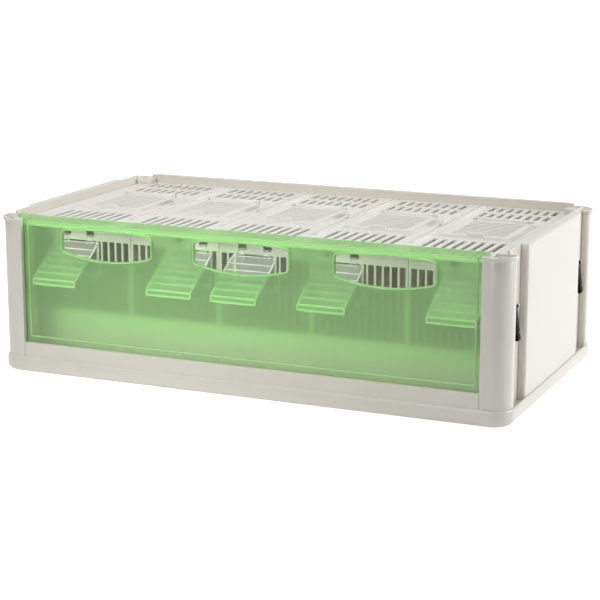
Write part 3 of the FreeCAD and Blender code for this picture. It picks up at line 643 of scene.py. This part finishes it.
LAMPS = (
    Lamp("right", (2.2, 0.9, 0.8), MIDDLE_M, 1.0, 31.0),
    Lamp("front", (-0.2, -2.2, 0.7), FRONT_LEFT_M, 0.35, 80.0, 26.0),
    Lamp("top", (-0.3, -0.4, 2.2), MIDDLE_M, 1.4, 24.5),
)


@dataclass
class Studio:
    """The pale floor, the soft lamps and the camera."""

    lens_mm: float = 106.14
    camera_at_mm: Place = (795.3, -1813.7, 524.5)
    yaw_deg: float = -23.711
    pitch_deg: float = -12.838
    floor_m: float = 12.0
    fade_m: Span = (0.7, 2.2)
    fade_level: Span = (0.85, 1.0)
    world_level: Span = (0.1, 1.0)

    def build(self) -> None:
        """Sets up the view, the world, the floor, the lamps and the camera."""
        scene = bpy.context.scene
        scene.view_settings.view_transform = "Standard"
        self.world(scene)
        self.floor()
        for lamp in LAMPS:
            lamp.hang()
        self.camera(scene)

    def world(self, scene: bpy.types.Scene) -> None:
        """Lights all round evenly, and shows white to the camera and in gloss and glass.

        Args:
            scene: The scene.
        """
        world = bpy.data.worlds.new("studio")
        world.use_nodes = True
        tree = world.node_tree
        tree.nodes.clear()
        strength = spread(tree, self.seen(tree), self.world_level)
        light = add_node(tree, "ShaderNodeBackground", {"Color": WHITE, "Strength": strength})
        add_node(tree, "ShaderNodeOutputWorld", {"Surface": light.outputs["Background"]})
        scene.world = world

    @staticmethod
    def seen(tree: Tree) -> Socket:
        """Tells rays of the camera, of gloss and of glass from those that light the carrier.

        Args:
            tree: The node tree.

        Returns:
            A socket that is one for such rays.
        """
        ray = add_node(tree, "ShaderNodeLightPath").outputs
        near = combine(tree, "MAXIMUM", ray["Is Camera Ray"], ray["Is Glossy Ray"])
        return combine(tree, "MAXIMUM", near, ray["Is Transmission Ray"])

    def floor(self) -> None:
        """Lays a pale floor that fades to white away from the carrier."""
        half = self.floor_m / 2
        corners = [(-half, -half, 0), (half, -half, 0), (half, half, 0), (-half, half, 0)]
        mesh = bpy.data.meshes.new("floor")
        mesh.from_pydata(corners, [], [(0, 1, 2, 3)])
        floor = bpy.data.objects.new("floor", mesh)
        bpy.context.scene.collection.objects.link(floor)
        mesh.materials.append(self.paper())

    def paper(self) -> Material:
        """Builds the floor's material: matt paper that takes soft shadows and glows white further off.

        Returns:
            The material.
        """
        material, tree = new_material("matt_white_paper")
        diffuse = add_node(tree, "ShaderNodeBsdfDiffuse", {"Color": linear("f4f4f4")})
        away = add_node(tree, "ShaderNodeVectorMath", {0: place_on_piece(tree)}, operation="LENGTH")
        level = spread(tree, away.outputs["Value"], self.fade_level, self.fade_m)
        strength = combine(tree, "MULTIPLY", self.seen(tree), level)
        glow = add_node(tree, "ShaderNodeEmission", {"Color": WHITE, "Strength": strength})
        shaders = {0: diffuse.outputs["BSDF"], 1: glow.outputs["Emission"]}
        both = add_node(tree, "ShaderNodeAddShader", shaders)
        add_node(tree, "ShaderNodeOutputMaterial", {"Surface": both.outputs["Shader"]})
        return material

    def camera(self, scene: bpy.types.Scene) -> None:
        """Places the camera at the photograph's viewing angle.

        Args:
            scene: The scene.
        """
        data = bpy.data.cameras.new("camera")
        data.lens = self.lens_mm
        camera = bpy.data.objects.new("camera", data)
        camera.location = [v * MM for v in self.camera_at_mm]
        yaw, pitch = math.radians(self.yaw_deg), math.radians(self.pitch_deg)
        level = math.cos(pitch)
        look = Vector((math.sin(yaw) * level, math.cos(yaw) * level, math.sin(pitch)))
        camera.rotation_euler = look.to_track_quat("-Z", "Y").to_euler()
        scene.collection.objects.link(camera)
        scene.camera = camera


@dataclass
class Mouldings:
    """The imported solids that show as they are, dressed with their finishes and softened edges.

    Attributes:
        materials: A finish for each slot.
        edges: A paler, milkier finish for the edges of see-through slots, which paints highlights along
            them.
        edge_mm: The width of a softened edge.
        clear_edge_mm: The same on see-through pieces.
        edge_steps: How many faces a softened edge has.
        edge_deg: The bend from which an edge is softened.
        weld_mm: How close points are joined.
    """

    materials: dict[str, Material]
    edges: dict[str, Material]
    edge_mm: float = 0.5
    clear_edge_mm: float = 0.8
    edge_steps: int = 2
    edge_deg: float = 35.0
    weld_mm: float = 0.001

    def dress(self) -> None:
        """Gives each solid its slot's finish and a small round along its edges."""
        slots = {part["node"]: part["material_slot"] for part in frame["record"]["subparts"]}
        for name, solid in frame["nodes"].items():
            solid.data.materials.clear()
            solid.data.materials.append(self.materials[slots[name]])
            weld = solid.modifiers.new("weld", "WELD")
            weld.merge_threshold = self.weld_mm * MM
            bevel = solid.modifiers.new("edge", "BEVEL")
            bevel.width = self.edge_mm * MM
            bevel.segments = self.edge_steps
            bevel.limit_method = "ANGLE"
            bevel.angle_limit = math.radians(self.edge_deg)
            # on see-through pieces the softened edge takes the milky finish, a painted highlight
            if slots[name] in self.edges:
                solid.data.materials.append(self.edges[slots[name]])
                bevel.material = 1
                bevel.width = self.clear_edge_mm * MM
            log.info("dressed %s", name)


@dataclass
class TrayBead:
    """The rolled bead on the base tray's lip, a line of light all round the foot."""

    half_width: float = 298.3
    half_depth: float = 165.3
    corner: float = 20.3
    corner_steps: int = 16
    height: float = 14.6
    half_thick: float = 1.6
    half_tall: float = 3.2
    section_points: int = 12

    def build(self, material: Material) -> None:
        """Sweeps an oval section round the lip, a flat rectangle whose corners are quarter circles.

        Args:
            material: The shell's finish.
        """
        width, depth = (-self.half_width, self.half_width), (-self.half_depth, self.half_depth)
        upright, away = framed(width, depth, self.corner, self.corner_steps)
        flat = upright[:, [0, 2, 1]] + np.array([0.0, 0.0, self.height])
        profile = oval_profile(self.half_thick, self.half_tall, self.section_points)
        bead = sweep(flat, away[:, [0, 2, 1]], repeated(UPWARD, flat), profile, True)
        add_piece("tray_bead", [bead], material, "carrier")


@dataclass
class OvalRims:
    """The thick rims that line the three oval holes of the front panel, made bright by the milky edge
    finish: a painted highlight.
    """

    pitch: float = 163.0035
    half_width: float = 55.5
    end_bottom: float = 142.0
    end_top: float = 165.0
    bottom_bulge: float = 8.0
    top_bulge: float = 3.0
    corner: float = 5.0
    front_y: float = -160.9
    back_y: float = -155.7
    inner: float = 0.4
    outer: float = 1.7
    long_steps: int = 40
    corner_steps: int = 9
    section_power: float = 4.0
    section_points: int = 20

    def path(self) -> tuple[np.ndarray, np.ndarray]:
        """Follows the hole: a shallow arc below and above, joined to the upright ends by small arcs.

        Returns:
            The path's points around the middle of the hole, and the outward direction at each.
        """
        inside = self.half_width - self.corner
        arcs = []
        below = (self.bottom_bulge, self.end_bottom, -1)
        above = (self.top_bulge, self.end_top, 1)
        for bulge, level, sign in (below, above):
            radius = (self.half_width**2 + bulge**2) / (2 * bulge)
            middle = level + sign * (bulge - radius)
            rise = math.sqrt((radius - self.corner) ** 2 - inside**2)
            lean = math.atan2(inside, rise)
            arcs.append((radius, middle, middle + sign * rise, lean))
        (low_r, low_z, low_c, low_a), (top_r, top_z, top_c, top_a) = arcs
        down, up, right, left = -math.pi / 2, math.pi / 2, 0.0, math.pi
        long, short = self.long_steps, self.corner_steps
        runs = [
            self.arc(0.0, low_z, low_r, (down - low_a, down + low_a), long),
            self.arc(inside, low_c, self.corner, (down + low_a, right), short),
            self.arc(inside, top_c, self.corner, (right, up - top_a), short),
            self.arc(0.0, top_z, top_r, (up - top_a, up + top_a), long),
            self.arc(-inside, top_c, self.corner, (up + top_a, left), short),
            self.arc(-inside, low_c, self.corner, (left, 2 * math.pi + down - low_a), short),
        ]
        both = np.concatenate(runs)
        return both[:, :3], both[:, 3:]

    @staticmethod
    def arc(x: float, z: float, radius: float, angles: Span, count: int) -> np.ndarray:
        """Gives points on an arc and their outward directions.

        The arc's first point is left out, because the arc before ends there.

        Args:
            x: The arc's middle across.
            z: The arc's middle in height.
            radius: Its radius.
            angles: Its first and last angle.
            count: How many points it has.

        Returns:
            Points and directions side by side.
        """
        turn = np.linspace(angles[0], angles[1], count)[1:]
        out = np.stack([np.cos(turn), np.zeros_like(turn), np.sin(turn)], axis=1)
        return np.concatenate([np.array([x, 0.0, z]) + radius * out, out], axis=1)

    def build(self, material: Material) -> None:
        """Sweeps a rounded section around each hole.

        Args:
            material: The milky edge finish, which paints the rims as highlights.
        """
        path, out = self.path()
        middle_y = (self.front_y + self.back_y) / 2
        reach = (self.outer - self.inner) / 2
        thick, deep = (self.outer + self.inner) / 2, (self.back_y - self.front_y) / 2
        profile = round_profile(thick, deep, self.section_power, self.section_points)
        for number, x in enumerate((-self.pitch, 0.0, self.pitch), start=1):
            place = path + reach * out + np.array([x, middle_y, 0.0])
            rim = sweep(place, out, repeated(REARWARD, path), profile, True)
            add_piece(f"oval_rim_{number}", [rim], material, "front_panel")


@dataclass
class PanelBead:
    """The bead that frames the front panel inside the posts and the rail."""

    half_width: float = 262.4
    bottom: float = 41.1
    top: float = 172.9
    face_y: float = -159.0
    proud: float = 1.0
    half_thick: float = 0.9
    corner: float = 2.5
    section_power: float = 2.5
    section_points: int = 12

    def build(self, material: Material) -> None:
        """Sweeps a low round section around the panel's face.

        Args:
            material: The milky edge finish, which paints the bead as a highlight.
        """
        width = (-self.half_width, self.half_width)
        path, out = framed(width, (self.bottom, self.top), self.corner)
        profile = round_profile(self.half_thick, self.proud, self.section_power, self.section_points)
        place = path + np.array([0.0, self.face_y, 0.0])
        bead = sweep(place, out, repeated(REARWARD, path), profile, True)
        add_piece("panel_bead", [bead], material, "front_panel")


@dataclass
class FeederRims:
    """The rolled rims along the feeders' front and sloping edges, and low bars across the slope.

    Their milky edge finish paints them as the bright lines that the feeders show behind the green
    panel.
    """

    count: int = 5
    front_height: float = 7.0
    back_height: float = 42.0
    depth: float = 54.5
    bead: float = 1.2
    inset: float = 0.5
    corner: float = 1.6
    slope_rings: int = 14
    swell_rate: float = 20.0
    swell_least: float = 0.3
    cross_bars: int = 5
    cross_bar_half_wide: float = 1.1
    cross_bar_half_tall: float = 0.9
    cross_bar_lift: float = 0.4
    section_points: int = 10

    def build(self, material: Material) -> None:
        """Sweeps a bead around each feeder's front face and up its cover's edges, with low bars
        between.

        Args:
            material: The milky edge finish, which paints the rims and bars as highlights.
        """
        for number in range(1, self.count + 1):
            low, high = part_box(f"feeder_{number}")
            x0, x1 = low[0] / MM + self.inset, high[0] / MM - self.inset
            y0, z0 = low[1] / MM + self.inset, low[2] / MM
            surfaces = [self.front(x0, x1, y0, z0)]
            surfaces += [self.slope(x, y0, z0) for x in (x0, x1)]
            surfaces += self.across(x0, x1, y0, z0)
            add_piece(f"feeder_rim_{number}", surfaces, material, f"feeder_{number}")

    def front(self, x0: float, x1: float, y0: float, z0: float) -> Surface:
        """Carries the bead round the front face, a rectangle whose corners are quarter circles.

        Args:
            x0: The feeder's left edge.
            x1: Its right edge.
            y0: Its front.
            z0: Its underside.

        Returns:
            The closed bead.
        """
        height = (z0 + self.inset, z0 + self.front_height - self.inset)
        path, out = framed((x0, x1), height, self.corner)
        place = path + np.array([0.0, y0, 0.0])
        profile = oval_profile(self.bead, self.bead, self.section_points)
        return sweep(place, out, repeated(REARWARD, path), profile, True)

    def edge(self, x: float, y0: float, z0: float) -> tuple[np.ndarray, np.ndarray]:
        """Gives the ends of the sloping cover's line at one place across.

        Args:
            x: The place across.
            y0: The feeder's front.
            z0: The feeder's underside.

        Returns:
            The lower and the upper end.
        """
        start = np.array([x, y0, z0 + self.front_height - self.inset])
        end = np.array([x, y0 + self.depth - 2 * self.bead, z0 + self.back_height - 2 * self.bead])
        return start, end

    def across(self, x0: float, x1: float, y0: float, z0: float) -> list[Surface]:
        """Lays low oval bars from edge to edge of the sloping cover, evenly spaced up the slope.

        Args:
            x0: The feeder's left edge.
            x1: Its right edge.
            y0: Its front.
            z0: Its underside.

        Returns:
            One surface for each bar.
        """
        (start, end), (far, _) = self.edge(x0, y0, z0), self.edge(x1, y0, z0)
        foot = np.stack([start, far])
        run = (end - start) / np.linalg.norm(end - start)
        side = repeated(run, foot)
        up = repeated(np.cross(RIGHTWARD, run), foot)
        lifted = foot + self.cross_bar_lift * up
        profile = oval_profile(self.cross_bar_half_wide, self.cross_bar_half_tall, self.section_points)
        parts = np.arange(1, self.cross_bars + 1) / (self.cross_bars + 1)
        return [sweep(lifted + part * (end - start), side, up, profile) for part in parts]

    def slope(self, x: float, y0: float, z0: float) -> Surface:
        """Carries the bead up one edge of the sloping cover, swelling from a thin end at both ends.

        Args:
            x: The edge's place across.
            y0: The feeder's front.
            z0: The feeder's underside.

        Returns:
            The bead.
        """
        start, end = self.edge(x, y0, z0)
        part = np.linspace(0, 1, self.slope_rings)
        path = start + part[:, None] * (end - start)
        run = (end - start) / np.linalg.norm(end - start)
        side = repeated(RIGHTWARD, path)
        up = repeated(np.cross(RIGHTWARD, run), path)
        swell = np.clip(np.minimum(part, 1 - part) * self.swell_rate, self.swell_least, 1.0)[:, None]
        profile = oval_profile(self.bead, self.bead, self.section_points)
        return sweep(path, side * swell, up * swell, profile)


@dataclass
class LeverClips:
    """The black lever clips: thin at the pivot and deep at the foot, with a finger groove above it."""

    pivot_back: float = 1.6
    barrel_radius: float = 1.6
    barrel_points: int = 20
    top_depth: float = 2.4
    taper_power: float = 1.15
    top_width_share: float = 0.86
    groove_height: float = 8.0
    groove_depth: float = 1.1
    groove_width: float = 0.9
    foot_round: float = 3.0
    foot_depth_share: float = 0.3
    foot_width_share: float = 0.55
    rings: int = 96
    ring_power: float = 1.4
    section_power: float = 5.0
    section_points: int = 28

    def build(self, material: Material) -> None:
        """Builds each lever from its node's box and sets it on its hinge.

        Args:
            material: The black finish.
        """
        for end in ("front", "rear"):
            for hand, sign in (("left", -1), ("right", 1)):
                name = f"clip_{end}_{hand}"
                low, high = (np.array(corner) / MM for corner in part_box(name))
                deep, width, _ = high - low
                back = low[0] if sign > 0 else high[0]
                pivot_x = back + sign * self.pivot_back
                pivot = np.array([pivot_x, (low[1] + high[1]) / 2, high[2] - self.barrel_radius])
                lever = self.lever(back, sign * deep, width, low[2], pivot)
                surfaces = [lever, self.barrel(pivot, width)]
                piece = add_piece(f"lever_{name}", surfaces, material, name)
                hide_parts(name)

    def lever(self, back: float, deep: float, width: float, foot: float, pivot: np.ndarray) -> Surface:
        """Stacks rounded boxes up the lever.

        The depth falls with a power of the height, less a bell-shaped groove.

        Args:
            back: The place of its back face across.
            deep: Its depth at the foot, below zero where it faces left.
            width: Its width.
            foot: The height of its foot.
            pivot: Its pivot.

        Returns:
            The lever's surface.
        """
        tall = pivot[2] - foot
        above = tall * np.linspace(0, 1, self.rings) ** self.ring_power
        down = 1 - above / tall
        depth = self.top_depth + (abs(deep) - self.top_depth) * down**self.taper_power
        depth -= self.groove_depth * np.exp(-(((above - self.groove_height) / self.groove_width) ** 2))
        close = np.clip(above / self.foot_round, 0, 1)
        full = np.sqrt(1 - (1 - close) ** 2)
        round_off = self.foot_depth_share + (1 - self.foot_depth_share) * full
        taper = self.top_width_share + (1 - self.top_width_share) * down
        narrowing = self.foot_width_share + (1 - self.foot_width_share) * round_off
        half_width = width / 2 * taper * narrowing
        profile = round_profile(1.0, 1.0, self.section_power, self.section_points)
        reach = np.sign(deep) * depth[:, None] / 2
        x = back + reach * (1 + profile[None, :, 0] * round_off[:, None])
        y = pivot[1] + half_width[:, None] * profile[None, :, 1]
        z = np.broadcast_to(foot + above[:, None], x.shape)
        return Surface(np.stack([x, y, z], axis=2))

    def barrel(self, pivot: np.ndarray, width: float) -> Surface:
        """Makes the pivot barrel, a round section carried across the lever.

        Args:
            pivot: The pivot.
            width: The barrel's length.

        Returns:
            The barrel's surface.
        """
        path = pivot + np.array([[0.0, -width / 2, 0.0], [0.0, width / 2, 0.0]])
        profile = oval_profile(self.barrel_radius, self.barrel_radius, self.barrel_points)
        return sweep(path, repeated(RIGHTWARD, path), repeated(UPWARD, path), profile)


def main() -> None:
    """Builds the studio and dresses the carrier."""
    logging.basicConfig(level=logging.INFO, format="%(message)s")
    Studio().build()
    materials = {slot.value: finish.material() for slot, finish in FINISHES.items()}
    edges = {slot.value: finish.material() for slot, finish in HIGHLIGHT_EDGES.items()}
    Mouldings(materials, edges).dress()
    TrayBead().build(materials[Slot.SHELL.value])
    OvalRims().build(edges[Slot.GREEN.value])
    PanelBead().build(edges[Slot.GREEN.value])
    FeederRims().build(edges[Slot.CLEAR.value])
    LeverClips().build(materials[Slot.BLACK.value])


if __name__ == "__main__":
    main()
